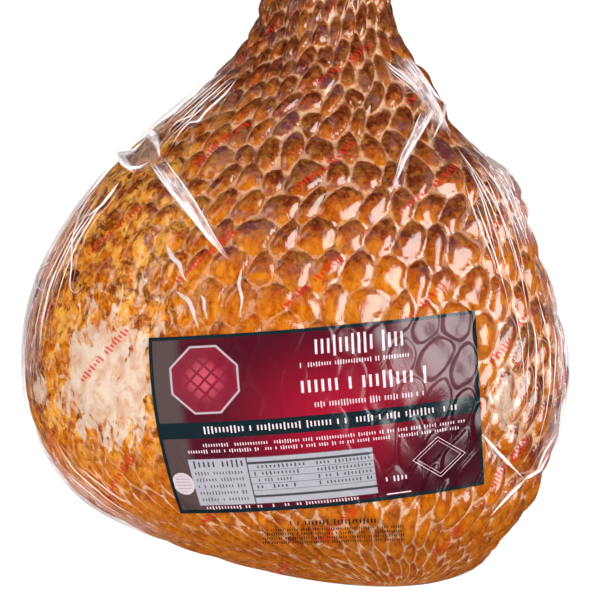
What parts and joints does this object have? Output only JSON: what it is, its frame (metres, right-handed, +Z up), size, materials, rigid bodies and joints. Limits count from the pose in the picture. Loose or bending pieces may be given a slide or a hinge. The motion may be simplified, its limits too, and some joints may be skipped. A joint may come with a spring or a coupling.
{
  "type": "bone-in ham in a clear bag",
  "caption": "Whole smoked ham on the bone with net marks, shrink-wrapped in a clear printed bag, lying on its flat side.",
  "frame": {"origin": "centre of the whole's box, on the ground that the ham lies on", "axes": "+Y from the wide butt end to the shank and the bag's sealed end, +Z up out of the label side, +X to the right as the label is read"},
  "size_m": [0.2747, 0.3954, 0.1675],
  "materials": {
    "film_over_ham": "glossy clear film over smoked meat"
  },
  "bodies": {
    "root": {"ham_in_bag": "film_over_ham"}
  },
  "joints": []
}
